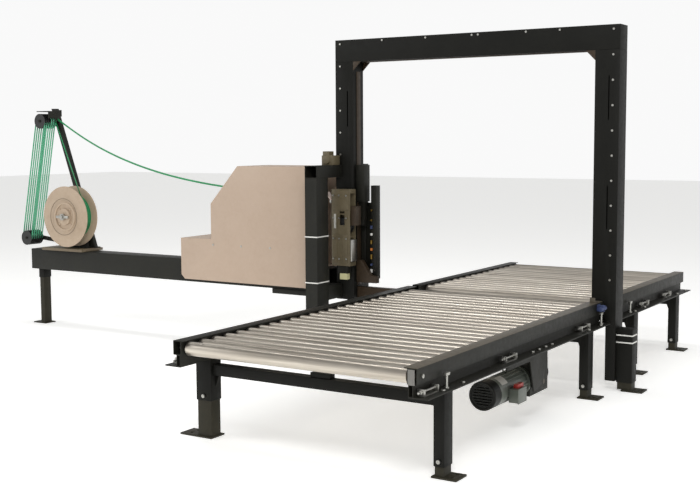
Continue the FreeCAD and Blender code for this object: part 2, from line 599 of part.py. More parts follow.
def head_case():
    """The welded case of the sealing head, open towards the load, and the panels on its front."""
    x0, x1, y0, y1 = HEAD_X0, HEAD_X1, HEAD_Y0, HEAD_Y1
    z0, z1 = HEAD_Z
    w = HEAD_WALL
    back_x = x0 + 26
    case = box(x0, x1, y0, y1, z0, z1)
    case = case.cut(box(back_x, x1 + 1, y0 + w, y1 - w, z0 + 26, z1 - 26))
    case = case.cut(box(x0 + 60, x0 + 96, y0 - 1, y0 + w + 1, 866, 953))
    webs = [box(back_x, x1 - 14, y0 + w, y1 - w, z, z + 10) for z in (786, 930)]
    seats = [box(x0 + 34, x1 - 34, y1, -ARCH_HALF, z, z + 110) for z in (640, 950)]
    save("sealing_head_case", fuse([case] + webs + seats))
    door = fuse([
        box(x0 + 12, x1 - 16, y0 - 4, y0, 628, 806),
        box(x0 + 36, x0 + 44, y0 - 8, y0 - 4, 636, 798),
        box(x0 + 78, x0 + 86, y0 - 8, y0 - 4, 636, 798),
    ])
    save("head_side_plate", group([
        door,
        box(x0 + 6, x1 - 8, y0 - 4, y0, 962, 1084),
        box(x0 + 22, x0 + 34, y0 - 9, y0, 846, 936),
    ]))
    hx, hz = COVER_HINGE
    pin = rod("y", (hx, y0 + 2, hz), y1 - 2, 4)
    lugs = [box(hx - 6, x0, y, y + 8, hz - 8, hz + 8) for y in (y0 + 2, y1 - 10)]
    bore = rod("y", (hx, y0, hz), y1, 4)
    save("sealing_head_case", fuse([pin] + [lug.cut(bore) for lug in lugs]))
    knuckle = rod("y", (hx, y0 + 11, hz), y1 - 11, 6.5)
    flap = box(hx - 1.5, hx + 1.5, y0 + 11, y1 - 11, hz, hz + FLAP_LEN)
    flap.rotate(V(hx, 0, hz), V(0, 1, 0), -FLAP_LEAN)
    save("head_cover", knuckle.fuse(flap).cut(rod("y", (hx, y0, hz), y1, 4 + RUN_FIT)))


def head_drive():
    """Platen and its air cylinder and valve, the feed wheel on its shaft, and the gear motor on top."""
    x0, x1, y0, y1, mid = HEAD_X0, HEAD_X1, HEAD_Y0, HEAD_Y1, HEAD_MID_Y
    w = HEAD_WALL
    gap = 1.0
    stem_r = 14.0
    save("press_platen", fuse([
        box(x1 - 12, x1 + 10, y0 + w + gap, y1 - w - gap, PLATEN_Z - 68, PLATEN_Z + 68),
        rod("x", (x0 + 60, mid, PLATEN_Z), x1 - 12, stem_r),
    ]))
    cylinder = rod("x", (x0 + 26, mid, PLATEN_Z), x0 + 66, 24)
    save("platen_cylinder", cylinder.cut(rod("x", (x0 + 40, mid, PLATEN_Z), x0 + 70, stem_r + RUN_FIT)))
    save("platen_cylinder", group([
        box(x0 + 40, x0 + 110, y0 + 8, y0 + 52, HEAD_Z[0] - 48, HEAD_Z[0]),
        box(x0 + 56, x0 + 106, y0 + 4, y0 + 44, HEAD_Z[0] - 86, HEAD_Z[0] - 48),
    ]))
    wx, wz = FEED_WHEEL_X, FEED_WHEEL_Z
    save("feed_wheel_shaft", rod("y", (wx, y0 + w, wz), y1 - w, 8))
    rims = rod("y", (wx, mid - 22, wz), mid + 22, FEED_WHEEL_R)
    rims = rims.cut(rod("y", (wx, mid - 8, wz), mid + 8, FEED_WHEEL_R + 8))
    core = rod("y", (wx, mid - 9, wz), mid + 9, FEED_WHEEL_R - 3)
    save("feed_wheel", fuse([rims, core]).cut(rod("y", (wx, y0, wz), y1, 8 + RUN_FIT)))
    px0, px1, z = POST_X, POST_X + POST[0], POST_TOP
    save("feed_gear_motor", fuse([
        box(px0 + 4, px1 - 4, -160, -75, z, z + 60),
        rod("y", ((px0 + px1) / 2, -160, z + 32), -176, 24),
        box(px0 + 8, px1 - 36, -154, -96, z + 60, z + 86),
    ]))


def head_guides():
    """Strap guides on the column's inner face, and the post that carries the air fittings."""
    gx, gy = LEFT_COL_IN, ARCH_HALF
    save("strap_guides", fuse([
        box(gx + 4, gx + 62, -34, 34, 1010, 1240),
        box(gx + 16, gx + 50, -20, 20, 860, 1010),
    ]))
    save("strap_guides", fuse([
        box(gx, gx + 26, gy - 16, gy - 8, 520, 860),
        box(gx, gx + 8, gy - 28, gy - 8, 520, 860),
    ]))
    shoe = [(gx + 4, 500), (gx + 150, 500), (gx + 150, 540), (gx + 104, 545), (gx + 40, 640), (gx + 4, 640)]
    save("strap_guides", prism(shoe, "y", -36, 36))
    save("strap_guides", box(HEAD_X1, HEAD_X1 + 38, HEAD_Y0 + 10, HEAD_Y1,
                             FEED_WHEEL_Z + 5, FEED_WHEEL_Z + 125))
    post_x = gx + 82
    save("cable_post", fuse([
        box(gx, post_x, gy - 6, gy, 530, 1000),
        box(post_x, post_x + 40, gy - 46, gy, 520, 1110),
    ]))
    save("cable_post", group(box(post_x + 1, post_x + 13, gy - 58, gy - 46, z, z + length)
                             for z, length in AIR_FITTINGS))


def head():
    head_frame()
    head_case()
    head_drive()
    head_guides()


# ---------------------------------------------------------------- cabinet
def cabinet():
    x0, x1 = CABINET_X
    z0, z1, z2, z3 = CABINET_Z

    def outline(inset):
        i = inset
        return [(x0 + i, z0 + 30), (x0 + 30 + i * 0.4, z0), (x1, z0), (x1, z3 - i),
                (CABINET_SLOPE_X + i * 0.4, z3 - i), (CABINET_STEP_X + i, z2 - i * 0.4),
                (CABINET_STEP_X + i, z1 - i), (x0 + i, z1 - i)]
    d = CABINET_HALF_D
    w = CABINET_WALL
    shell = prism(outline(0), "y", -d, 2 * d)
    inner = prism(outline(w), "y", -d + w, 2 * (d - w))
    inner = inner.fuse(box(x0 + 60, x1 + 1, -d + w, d - w, z0 - 1, z3 - w - 1).cut(
        box(x0, CABINET_STEP_X + w, -d, d, z1 - w, z3)).cut(prism(
            [(CABINET_STEP_X - 1, z2 - w * 0.4), (CABINET_STEP_X + w, z2 - w * 0.4),
             (CABINET_SLOPE_X + w * 0.4, z3 - w), (CABINET_SLOPE_X, z3 + 1), (CABINET_STEP_X - 1, z3 + 1)],
            "y", -d, 2 * d)))
    shell = shell.cut(inner)
    beam_way = box(x0 - 1, x0 + 90, -BEAM_HALF - 1, BEAM_HALF + 1, z0 - 1, BEAM_Z[1] + 1)
    shell = shell.cut(beam_way)
    slope = math.atan2(z3 - z2, CABINET_SLOPE_X - CABINET_STEP_X)
    inlet_x = CABINET_STEP_X + INLET_IN
    inlet_z = z2 + INLET_IN * math.tan(slope)
    hole = box(-15, 15, -12, 12, -20, 20)
    hole.rotate(V(0, 0, 0), V(0, 1, 0), -math.degrees(slope))
    hole.translate(V(inlet_x, 0, inlet_z))
    save("cabinet_shell", shell.cut(hole))
    plate = box(-30, 30, -26, 26, 0, 6).cut(box(-3, 3, -8, 8, -1, 7))
    plate = plate.fuse(box(-14.5, 14.5, -11.5, 11.5, -6, 0).cut(box(-3, 3, -8, 8, -7, 1)))
    plate.rotate(V(0, 0, 0), V(0, 1, 0), -math.degrees(slope))
    plate.translate(V(inlet_x, 0, inlet_z))
    save("strap_inlet", plate)
    screws = [rod("y", (x, -d, 700), -d - 3, 7) for x in CABINET_SCREWS]
    screws += [rod("y", (x, d, 700), d + 3, 7) for x in CABINET_SCREWS]
    save("panel_screws", group(screws))
    deck = box(x0 + 120, x1 - 4, -d + w, d - w, BEAM_Z[1], BEAM_Z[1] + 4)
    save("cabinet_deck", deck)
    brace = fuse([
        box(x1 - 370, POST_X, -BEAM_HALF, BEAM_HALF, BEAM_Z[0] - 8, BEAM_Z[0]),
        box(x1 - 370, x1 - 30, -BEAM_HALF - 8, -BEAM_HALF, BEAM_Z[0] - 34, BEAM_Z[0]),
    ])
    save("dispenser_beam", brace)


# ---------------------------------------------------------------- dispenser
def dispenser():
    beam = tube(BEAM_LEFT, POST_X, -BEAM_HALF, BEAM_HALF, BEAM_Z[0], BEAM_Z[1], BEAM_WALL, "x")
    cap = box(BEAM_LEFT, BEAM_LEFT + 4, -BEAM_HALF + BEAM_WALL, BEAM_HALF - BEAM_WALL,
              BEAM_Z[0] + BEAM_WALL, BEAM_Z[1] - BEAM_WALL)
    save("dispenser_beam", fuse([beam, cap]))
    x0 = BEAM_LEFT + 36
    sleeve, foot = telescopic(x0, x0 + RIGHT_LEG[0], 0, RIGHT_LEG[1], BEAM_Z[0] - 70, BEAM_Z[0],
                              x0 - 62, x0 + RIGHT_LEG[0] + 20, x0 - 34)
    save("leg_sleeves", sleeve)
    save("adjustable_feet", foot)
    cx, cz = REEL
    base = box(BASE_X[0], BASE_X[1], -110, 110, BEAM_Z[1], BASE_TOP)
    save("reel_base_plate", base)
    y0, y1 = STAND_Y, STAND_Y + 12
    ribs = prism([(cx - 110, BASE_TOP), (cx + 110, BASE_TOP), (cx + 50, cz + 60), (cx - 50, cz + 60)],
                 "y", y0, 12)
    boss = rod("y", (cx, y0, cz), y1 + 24, 34)
    foot_plate = box(cx - 110, cx + 110, y0 - 20, y1 + 18, BASE_TOP, BASE_TOP + 8)
    stand = fuse([ribs, boss, foot_plate]).cut(rod("y", (cx, y0 - 30, cz), y1 + 40, REEL_SHAFT_R))
    save("reel_stand", stand)
    save("reel_shaft", rod("y", (cx, REEL_FRONT - 46, cz), y1 + 24, REEL_SHAFT_R))
    reel(cx, cz)
    tower(y1 + 30)


def reel(cx, cz):
    """Front and back flanges, the wound strap between them and the clamping nut."""
    y0, y1 = REEL_FRONT, COIL_BACK
    bore = rod("y", (cx, y0 - 60, cz), y1 + 30, REEL_SHAFT_R + RUN_FIT)
    back = fuse([rod("y", (cx, y1 - FLANGE_WALL, cz), y1, REEL_R),
                 rod("y", (cx, y0 + FLANGE_WALL, cz), y1 - FLANGE_WALL, CORE_R)])
    save("reel_back_flange", back.cut(bore))
    ring = rod("y", (cx, y0, cz), y0 - 10, 108).cut(rod("y", (cx, y0 + 1, cz), y0 - 11, 92))
    hub = rod("y", (cx, y0, cz), y0 - 16, 62)
    front = fuse([rod("y", (cx, y0, cz), y0 + FLANGE_WALL, REEL_R), ring, hub])
    for i in range(4):
        a = math.radians(45 + 90 * i)
        px, pz = cx + 78 * math.cos(a), cz + 78 * math.sin(a)
        front = front.fuse(rod("y", (px, y0, pz), y0 - 6, 8))
    save("reel_front_flange", front.cut(bore))
    coil = rod("y", (cx, y0 + FLANGE_WALL, cz), y1 - FLANGE_WALL, COIL_R)
    save("strap_coil", coil.cut(rod("y", (cx, y0, cz), y1, CORE_R)))
    nut = fuse([
        rod("y", (cx, y0 - 16, cz), y0 - 36, 24),
        box(cx - 62, cx + 62, y0 - 34, y0 - 26, cz - 9, cz + 9),
    ])
    save("reel_wing_nut", nut.cut(bore))


def leaning(x_at, z0, z1, width, y0, depth, wall):
    """A rectangular tube that leans in the XZ plane; `x_at` gives its centre at a height."""
    h = width / 2
    outer = prism([(x_at(z0) - h, z0), (x_at(z0) + h, z0), (x_at(z1) + h, z1), (x_at(z1) - h, z1)],
                  "y", y0, depth)
    i = h - wall
    inner = prism([(x_at(z0 - 1) - i, z0 - 1), (x_at(z0 - 1) + i, z0 - 1), (x_at(z1 - wall) + i, z1 - wall),
                   (x_at(z1 - wall) - i, z1 - wall)], "y", y0 + wall, depth - 2 * wall)
    return outer.cut(inner)


def tower(y0):
    tx, tz = TOWER_TOP
    lean = (tx - TOWER_FOOT_X) / (tz - BASE_TOP)

    def x_at(z):
        return TOWER_FOOT_X + lean * (z - BASE_TOP)
    arm = leaning(x_at, BASE_TOP, tz, TOWER, y0, TOWER_Y, 3.0)
    edge = BASE_X[1]
    pad = box(TOWER_FOOT_X - 60, edge, y0, y0 + TOWER_Y + 12, BASE_TOP, BASE_TOP + 8)
    inside = TOWER / 2 - 4
    pad = pad.cut(box(TOWER_FOOT_X - inside, TOWER_FOOT_X + inside, y0 + 3, y0 + TOWER_Y - 3,
                      BASE_TOP - 1, BASE_TOP + 9))
    gusset = prism([(edge - 190, BASE_TOP), (edge, BASE_TOP), (edge - 72, BASE_TOP + 190),
                    (edge - 120, BASE_TOP + 190)], "y", y0 - 8, 8)
    sx, sz = TOP_SHEAVE
    reach = prism([(sx - 18, sz - 18), (x_at(sz), sz - 40), (x_at(sz), sz + 30), (sx - 18, sz + 18)],
                  "y", y0 - 8, 8)
    pin = rod("y", (sx, SHEAVE_FRONT - 10, sz), y0, SHEAVE_BORE)
    save("tower_arm", fuse([arm, pad, gusset, reach, pin]))
    save("top_sheaves", sheaves(sx, sz))
    eye_x = STRAP_POINTS[0][0] + 3.0
    bar_z = sz + SHEAVE_R + 14
    guard = fuse([
        box(x_at(sz) - 25, eye_x, y0 - 8, y0, sz + 35, bar_z + 15),
        box(sx - 30, eye_x, SHEAVE_FRONT, y0 - 8, bar_z, bar_z + 6),
        box(eye_x - 6, eye_x, SHEAVE_FRONT, y0 - 8, sz + 20, bar_z + 6),
        box(eye_x - 12, eye_x, -14, 14, sz + 2, sz + 34),
    ])
    save("strap_guard_bar", guard)

    px, pz = PIVOT
    lx, lz = LOW_SHEAVE
    arm_y = y0 - 12
    pivot_block = fuse([
        box(px - 20, px + 20, arm_y + 8.5, y0 + 20, BASE_TOP, pz + 22),
        rod("y", (px, arm_y - 6, pz), arm_y + 9, 10),
    ])
    save("dancer_pivot", pivot_block)
    lever = fuse([
        prism([(px + 16, pz - 14), (px + 16, pz + 14), (lx + 10, lz + 14), (lx - 16, lz + 14),
               (lx - 16, lz - 14), (lx + 30, lz - 20)], "y", arm_y, 8),
        rod("y", (lx, SHEAVE_FRONT - 8, lz), arm_y, SHEAVE_BORE),
    ])
    save("dancer_arm", lever.cut(rod("y", (px, arm_y - 1, pz), arm_y + 9, 10 + RUN_FIT)))
    save("lower_sheaves", sheaves(lx, lz))


def sheaves(cx, cz):
    """A stack of grooved wheels, side by side on one bore."""
    bore = rod("y", (cx, SHEAVE_FRONT - 20, cz), SHEAVE_BACK + 20, SHEAVE_BORE + RUN_FIT)
    wheels = []
    for i in range(SHEAVE_COUNT):
        y0 = SHEAVE_FRONT + i * SHEAVE_W
        y1 = y0 + SHEAVE_W
        wheel = fuse([
            rod("y", (cx, y0, cz), y0 + 3, SHEAVE_R),
            rod("y", (cx, y1 - 3, cz), y1, SHEAVE_R),
            rod("y", (cx, y0 + 3, cz), y1 - 3, SHEAVE_GROOVE_R),
        ])
        wheels.append(wheel.cut(bore))
    return group(wheels)


def accumulator_strands():
    """The strap's runs between the two stacks: one each side of the wheels in every groove."""
    (lx, lz), (tx, tz) = LOW_SHEAVE, TOP_SHEAVE
    length = math.hypot(tx - lx, tz - lz)
    nx, nz = -(tz - lz) / length, (tx - lx) / length
    r = SHEAVE_GROOVE_R + 0.4
    runs = []
    for i in range(SHEAVE_COUNT):
        y = SHEAVE_FRONT + (i + 0.5) * SHEAVE_W - STRAP_W / 2
        for side in (1, -1):
            a, b = side * r, side * (r + STRAP_T)
            outline = [(lx + nx * a, lz + nz * a), (lx + nx * b, lz + nz * b),
                       (tx + nx * b, tz + nz * b), (tx + nx * a, tz + nz * a)]
            runs.append(prism(outline, "y", y, STRAP_W))
    save("accumulator_strands", group(runs))


def rounded_path(points):
    """Straight runs joined by tangent arcs, each arc radius 0.45 of its shorter run."""
    pts = [V(x, 0, z) for x, z in points]
    edges, radii = [], []
    last = pts[0]
    for a, b, c in zip(pts, pts[1:], pts[2:]):
        back, ahead = (a - b), (c - b)
        turn = math.pi - back.getAngle(ahead)
        shorter = min(back.Length, ahead.Length)
        trim = 0.45 * shorter
        radii.append(trim / math.tan(turn / 2))
        p = b + back * (trim / back.Length)
        q = b + ahead * (trim / ahead.Length)
        middle_dir = (back.normalize() + ahead.normalize()).normalize()
        radius = radii[-1]
        centre = b + middle_dir * (radius / math.cos(turn / 2))
        mid = centre - middle_dir * radius
        edges.append(Part.LineSegment(last, p).toShape())
        edges.append(Part.Arc(p, mid, q).toShape())
        last = q
    edges.append(Part.LineSegment(last, pts[-1]).toShape())
    return Part.Wire(edges), radii


STRAP_POINTS = [(-3664, 1560), (-3545, 1493), (-3400, 1418), (-3244, 1348), (-3082, 1287), (-2918, 1235),
                (-2752, 1191), (-2584, 1154), (-2414, 1124), (-2244, 1100), (-2110, 1085), (-1981, 1072)]


def free_strap():
    wire, radii = rounded_path(STRAP_POINTS)
    print("free strap arc radii:", [round(r) for r in radii], "length", round(wire.Length, 1))
    pts = [V(x, 0, z) for x, z in STRAP_POINTS]
    direction = pts[1] - pts[0]
    profile = Part.Wire([Part.Circle(pts[0], direction, STRAP_W / 2).toShape()])
    pipe = wire.makePipeShell([profile], True, False)
    section = math.pi * (STRAP_W / 2) ** 2
    print("free strap volume / (section x length):", round(pipe.Volume / (section * wire.Length), 4))
    save("free_strap", pipe)


def footprint_shift():
    """Moves the middle of the footprint to the origin; the floor stays at zero."""
    bounds = group(NODES.values()).BoundBox
    return V(-(bounds.XMin + bounds.XMax) / 2, -(bounds.YMin + bounds.YMax) / 2, 0)


conveyor()
lower_frame()
drive()
photo_eye()
arch()
head()
cabinet()
dispenser()
accumulator_strands()
free_strap()

SHIFT = footprint_shift()
print("shift", round(SHIFT.x, 3), round(SHIFT.y, 3), "nodes", len(NODES))
os.makedirs("parts", exist_ok=True)
for node_name, node_shape in NODES.items():
    node_shape.translate(SHIFT)
    node_shape.exportStep("parts/" + node_name + ".step")
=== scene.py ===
# %% [markdown]
# # Arch strapping machine
# A roller conveyor carries a load through an arch.  A sealing head beside the arch pulls a plastic
# strap round the load and welds it.  The strap comes from a reel on a beam, over two stacks of
# sheaves, and through the air into a cream cabinet.
# The frame below already holds every part in its real place.  This script gives the parts their
# finish and adds what only the eye needs: softened edges, caps, a label, screws and the strap.

# %% Load the frame
import bpy
import json
import math
from mathutils import Matrix, Vector

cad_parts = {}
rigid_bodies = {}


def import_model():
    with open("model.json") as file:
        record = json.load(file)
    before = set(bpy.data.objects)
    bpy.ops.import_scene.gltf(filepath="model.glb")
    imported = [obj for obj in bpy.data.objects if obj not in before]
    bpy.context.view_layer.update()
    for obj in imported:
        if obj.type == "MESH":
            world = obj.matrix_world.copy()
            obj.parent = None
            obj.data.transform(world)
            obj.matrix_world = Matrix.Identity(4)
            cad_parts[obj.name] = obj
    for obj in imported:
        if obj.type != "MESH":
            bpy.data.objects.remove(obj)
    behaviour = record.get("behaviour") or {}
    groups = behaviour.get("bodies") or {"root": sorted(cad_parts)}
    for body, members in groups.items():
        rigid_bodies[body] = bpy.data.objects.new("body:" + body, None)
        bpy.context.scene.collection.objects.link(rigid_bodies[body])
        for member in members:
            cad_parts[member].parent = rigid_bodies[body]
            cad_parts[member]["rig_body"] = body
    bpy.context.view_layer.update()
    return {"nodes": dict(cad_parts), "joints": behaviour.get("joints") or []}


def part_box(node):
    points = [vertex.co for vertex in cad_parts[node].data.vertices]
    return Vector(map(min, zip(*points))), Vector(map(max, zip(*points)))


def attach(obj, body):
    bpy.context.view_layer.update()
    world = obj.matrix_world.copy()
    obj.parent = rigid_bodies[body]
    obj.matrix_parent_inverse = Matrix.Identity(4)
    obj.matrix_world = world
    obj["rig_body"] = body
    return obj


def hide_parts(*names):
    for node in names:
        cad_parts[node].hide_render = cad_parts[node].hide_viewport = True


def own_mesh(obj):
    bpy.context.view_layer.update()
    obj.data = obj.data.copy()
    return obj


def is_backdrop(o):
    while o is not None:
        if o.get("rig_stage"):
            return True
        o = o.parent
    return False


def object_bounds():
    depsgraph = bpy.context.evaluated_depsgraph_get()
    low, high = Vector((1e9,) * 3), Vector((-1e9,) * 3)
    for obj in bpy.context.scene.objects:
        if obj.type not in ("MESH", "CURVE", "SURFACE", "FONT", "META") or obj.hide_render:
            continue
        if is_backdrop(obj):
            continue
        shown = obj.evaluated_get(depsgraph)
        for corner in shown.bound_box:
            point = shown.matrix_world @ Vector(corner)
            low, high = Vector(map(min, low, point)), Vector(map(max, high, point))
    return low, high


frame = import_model()
nodes = frame["nodes"]
MM = 0.001

# %% [markdown]
# ## Colours and the one node helper
# Paint makers give colours as hex values in sRGB, and a shader wants linear light, so one function
# turns one into the other.  A second small function adds a node, sets it and joins it up.  Nodes
# could be placed by hand, but a function keeps each material down to the lines that matter.


# %% Colour and node helpers
def linear(hex_colour):
    """An sRGB hex value as linear red, green, blue and alpha."""
    out = []
    for i in (0, 2, 4):
        c = int(hex_colour[i:i + 2], 16) / 255
        out.append(c / 12.92 if c <= 0.04045 else ((c + 0.055) / 1.055) ** 2.4)
    return (*out, 1.0)


def add(tree, kind, settings=None, inputs=None):
    """Adds a node.  An input is a value, or (node, output) to join it to."""
    node = tree.nodes.new(kind)
    for key, value in (settings or {}).items():
        setattr(node, key, value)
    for key, value in (inputs or {}).items():
        if isinstance(value, tuple) and isinstance(value[0], bpy.types.Node):
            tree.links.new(value[0].outputs[value[1]], node.inputs[key])
        else:
            node.inputs[key].default_value = value
    return node


def new_material(name):
    """A material with an empty tree, its output and the place on the object."""
    material = bpy.data.materials.new(name)
    material.use_nodes = True
    tree = material.node_tree
    tree.nodes.clear()
    place = add(tree, "ShaderNodeTexCoord")
    out = add(tree, "ShaderNodeOutputMaterial")
    return material, tree, place, out


# %% [markdown]
# ## Painted steel
# Powder coat is sprayed as dust and baked, which leaves a fine orange peel and a satin gloss.  Real
# peel is about 1.5 mm across and too fine to show here, so it is drawn 7 mm across.  A second, large
# noise shifts the tone a little, as handling and dust do, and makes the gloss uneven.  Both could be
# painted as images, but noise on a piece's own coordinates has no seams and follows the piece.


# %% Powder coat
def powder_coat(name, colour, worn, roughness, peel_mm=7.0, peel=0.06, wear=0.5, gloss_level=0.5):
    material, tree, place, out = new_material(name)
    haze = add(tree, "ShaderNodeTexNoise", None,
               {"Vector": (place, "Object"), "Scale": 1 / (160 * MM), "Detail": 5.0, "Roughness": 0.6})
    scuff = add(tree, "ShaderNodeTexNoise", None,
                {"Vector": (place, "Object"), "Scale": 1 / (28 * MM), "Detail": 7.0, "Roughness": 0.72})
    amount = add(tree, "ShaderNodeMath", {"operation": "MULTIPLY"},
                 {0: (haze, "Fac"), 1: (scuff, "Fac")})
    share = add(tree, "ShaderNodeMapRange", None,
                {"Value": (amount, 0), "From Min": 0.16, "From Max": 0.42, "To Max": wear})
    tone = add(tree, "ShaderNodeMix", {"data_type": "RGBA"},
               {"Factor": (share, 0), 6: linear(colour), 7: linear(worn)})
    gloss = add(tree, "ShaderNodeMapRange", None,
                {"Value": (scuff, "Fac"), "From Min": 0.3, "From Max": 0.7,
                 "To Min": roughness - 0.07, "To Max": roughness + 0.09})
    grain = add(tree, "ShaderNodeTexNoise", None,
                {"Vector": (place, "Object"), "Scale": 1 / (peel_mm * MM), "Detail": 2.0})
    bump = add(tree, "ShaderNodeBump", None,
               {"Height": (grain, "Fac"), "Strength": peel, "Distance": 0.5 * MM})
    shader = add(tree, "ShaderNodeBsdfPrincipled", None,
                 {"Base Color": (tone, 2), "Roughness": (gloss, 0), "Normal": (bump, 0),
                  "Specular IOR Level": gloss_level})
    tree.links.new(shader.outputs[0], out.inputs[0])
    return material


black_powder_coat = powder_coat("black_powder_coat", "1e1e1a", "2b2a22", 0.5, gloss_level=0.22)
arch_powder_coat = powder_coat("deep_black_powder_coat", "131310", "1d1d19", 0.55, gloss_level=0.16)
cream_powder_coat = powder_coat("cream_powder_coat", "b9a491", "b09a86", 0.5, wear=0.5)
reel_board = powder_coat("reel_board_cream", "b5a18b", "a08b74", 0.55, wear=0.6)
tan_plate = powder_coat("tan_base_plate", "6d604c", "574c3b", 0.5)
motor_enamel = powder_coat("motor_grey_enamel", "60655d", "50544c", 0.38)
cowl_enamel = powder_coat("cowl_dark_enamel", "191a17", "11120f", 0.45, gloss_level=0.2)
olive_enamel = powder_coat("head_olive_enamel", "6a604a", "4c4533", 0.45, gloss_level=0.35)
brown_enamel = powder_coat("guide_brown_enamel", "3d3124", "2a2219", 0.48, gloss_level=0.3)
brown_cap = powder_coat("rail_cap_brown_grey", "5f584c", "4a453b", 0.5, gloss_level=0.35)
pale_plate = powder_coat("pale_end_plate", "7c7a76", "62605c", 0.5, gloss_level=0.3)
foot_enamel = powder_coat("foot_olive_black", "2a281d", "39352a", 0.55, wear=0.6, gloss_level=0.25)
print("painted finishes made")

# %% [markdown]
# ## Bare and plated metal
# Conveyor rollers are drawn steel tube, ground round and then polished along by the loads that slide
# over them.  The grinding leaves rings round the tube, so one faint pattern changes only along the
# tube, and rubbed-in dirt makes long dull streaks.  The metal shader gives the mirror, and the
# patterns only break it up, because a plain mirror reads as chrome.


# %% Roller steel and zinc
def roller_steel():
    material, tree, place, out = new_material("ground_roller_steel")
    rings_at = add(tree, "ShaderNodeMapping", None,
                   {"Vector": (place, "Object"), "Scale": (1 / (55 * MM), 1.5, 1.5)})
    rings = add(tree, "ShaderNodeTexNoise", None, {"Vector": (rings_at, 0), "Scale": 1.0, "Detail": 2.0})
    streak_at = add(tree, "ShaderNodeMapping", None,
                    {"Vector": (place, "Object"), "Scale": (0.9, 1 / (30 * MM), 1 / (30 * MM))})
    streaks = add(tree, "ShaderNodeTexNoise", None,
                  {"Vector": (streak_at, 0), "Scale": 1.0, "Detail": 4.0, "Roughness": 0.6})
    dull = add(tree, "ShaderNodeMapRange", None,
               {"Value": (streaks, "Fac"), "From Min": 0.35, "From Max": 0.68})
    tone = add(tree, "ShaderNodeMix", {"data_type": "RGBA"},
               {"Factor": (dull, 0), 6: linear("dbd3c6"), 7: linear("a89f93")})
    rough = add(tree, "ShaderNodeMapRange", None,
                {"Value": (rings, "Fac"), "From Min": 0.3, "From Max": 0.7,
                 "To Min": 0.30, "To Max": 0.38})
    bump = add(tree, "ShaderNodeBump", None,
               {"Height": (rings, "Fac"), "Strength": 0.01, "Distance": 0.1 * MM})
    shader = add(tree, "ShaderNodeBsdfPrincipled", None,
                 {"Base Color": (tone, 2), "Metallic": 1.0, "Roughness": (rough, 0),
                  "Normal": (bump, 0)})
    tree.links.new(shader.outputs[0], out.inputs[0])
    return material


def plated_metal(name, colour, stain, roughness):
    """Plated or bare small parts: metal with a cloudy tone a few millimetres across."""
    material, tree, place, out = new_material(name)
    cloud = add(tree, "ShaderNodeTexNoise", None,
                {"Vector": (place, "Object"), "Scale": 1 / (6 * MM), "Detail": 4.0})
    tone = add(tree, "ShaderNodeMix", {"data_type": "RGBA"},
               {"Factor": (cloud, "Fac"), 6: linear(colour), 7: linear(stain)})
    rough = add(tree, "ShaderNodeMapRange", None,
                {"Value": (cloud, "Fac"), "To Min": roughness - 0.08, "To Max": roughness + 0.12})
    shader = add(tree, "ShaderNodeBsdfPrincipled", None,
                 {"Base Color": (tone, 2), "Metallic": 1.0, "Roughness": (rough, 0)})
    tree.links.new(shader.outputs[0], out.inputs[0])
    return material


ground_roller_steel = roller_steel()
zinc_plate = plated_metal("zinc_plate", "c9c8c2", "8f8e88", 0.34)
oiled_steel = plated_metal("oiled_chain_steel", "6d675d", "3c3833", 0.42)
brass = plated_metal("turned_brass", "b08f4a", "7d6433", 0.36)
print("metal finishes made")

# %% [markdown]
# ## Plastics and the strap
# Polyester strap is extruded, stretched and embossed with a small diamond pattern so that it grips.
# The diamonds are about 2 mm across, far too fine to model, so a bump stands for them.  Moulded nylon
# and plastic parts have a dull skin, which a plain rough shader gives.


# %% Plastics
def moulded(name, colour, roughness, grain_mm=3.0):
    material, tree, place, out = new_material(name)
    grain = add(tree, "ShaderNodeTexNoise", None,
                {"Vector": (place, "Object"), "Scale": 1 / (grain_mm * MM), "Detail": 3.0})
    rough = add(tree, "ShaderNodeMapRange", None,
                {"Value": (grain, "Fac"), "To Min": roughness - 0.06, "To Max": roughness + 0.08})
    bump = add(tree, "ShaderNodeBump", None,
               {"Height": (grain, "Fac"), "Strength": 0.08, "Distance": 0.2 * MM})
    shader = add(tree, "ShaderNodeBsdfPrincipled", None,
                 {"Base Color": linear(colour), "Roughness": (rough, 0), "Normal": (bump, 0),
                  "IOR": 1.5})
    tree.links.new(shader.outputs[0], out.inputs[0])
    return material


def strap_plastic(name, colour, deep):
    material, tree, place, out = new_material(name)
    turned = add(tree, "ShaderNodeMapping", None,
                 {"Vector": (place, "Object"), "Rotation": (0.6, 0.785, 0.785)})
    diamonds = add(tree, "ShaderNodeTexVoronoi", {"distance": "MANHATTAN"},
                   {"Vector": (turned, 0), "Scale": 1 / (3.0 * MM)})
    shade = add(tree, "ShaderNodeTexNoise", None,
                {"Vector": (place, "Object"), "Scale": 1 / (60 * MM), "Detail": 2.0})
    tone = add(tree, "ShaderNodeMix", {"data_type": "RGBA"},
               {"Factor": (shade, "Fac"), 6: linear(colour), 7: linear(deep)})
    bump = add(tree, "ShaderNodeBump", None,
               {"Height": (diamonds, "Distance"), "Strength": 0.3, "Distance": 0.3 * MM})
    shader = add(tree, "ShaderNodeBsdfPrincipled", None,
                 {"Base Color": (tone, 2), "Roughness": 0.3, "Normal": (bump, 0), "IOR": 1.57})
    tree.links.new(shader.outputs[0], out.inputs[0])
    return material


